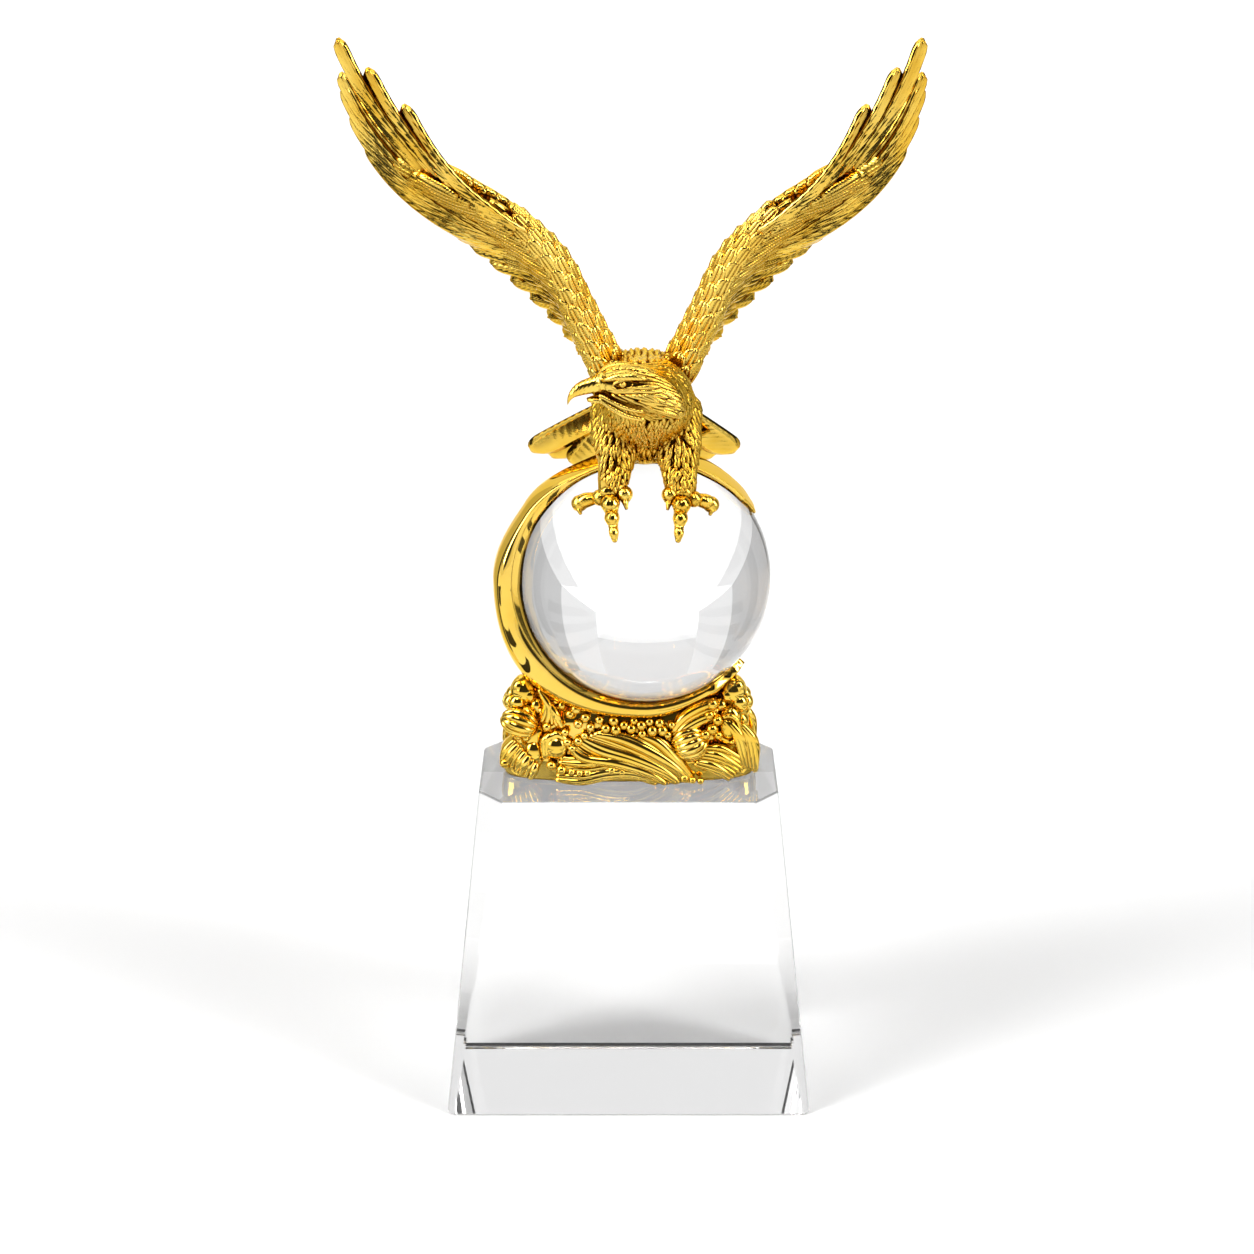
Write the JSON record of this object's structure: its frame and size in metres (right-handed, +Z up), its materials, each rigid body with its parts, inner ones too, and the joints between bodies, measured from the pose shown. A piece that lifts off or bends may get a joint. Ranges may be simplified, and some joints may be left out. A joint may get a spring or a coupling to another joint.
{
  "type": "eagle award trophy",
  "caption": "Gilt eagle with raised wings perched on a crystal ball, held in a crescent over a wave casting, on a tapered crystal block.",
  "frame": {"origin": "middle of the crystal block's underside", "axes": "+Z up through the trophy, -Y toward the viewer of the front, +X to the viewer's right"},
  "size_m": [0.1734, 0.0876, 0.3518],
  "materials": {
    "clear_crystal_block": "clear, ground and polished faces",
    "gilt_waves": "bright gold plating over a cast relief",
    "polished_gilt": "mirror-polished gold plating",
    "clear_crystal_ball": "clear, polished",
    "gilt_eagle": "bright gold plating over chiselled feathers"
  },
  "bodies": {
    "root": {"crystal_base": "clear_crystal_block", "wave_base": "gilt_waves", "crescent": "polished_gilt", "crystal_ball": "clear_crystal_ball", "eagle": "gilt_eagle"}
  },
  "joints": []
}
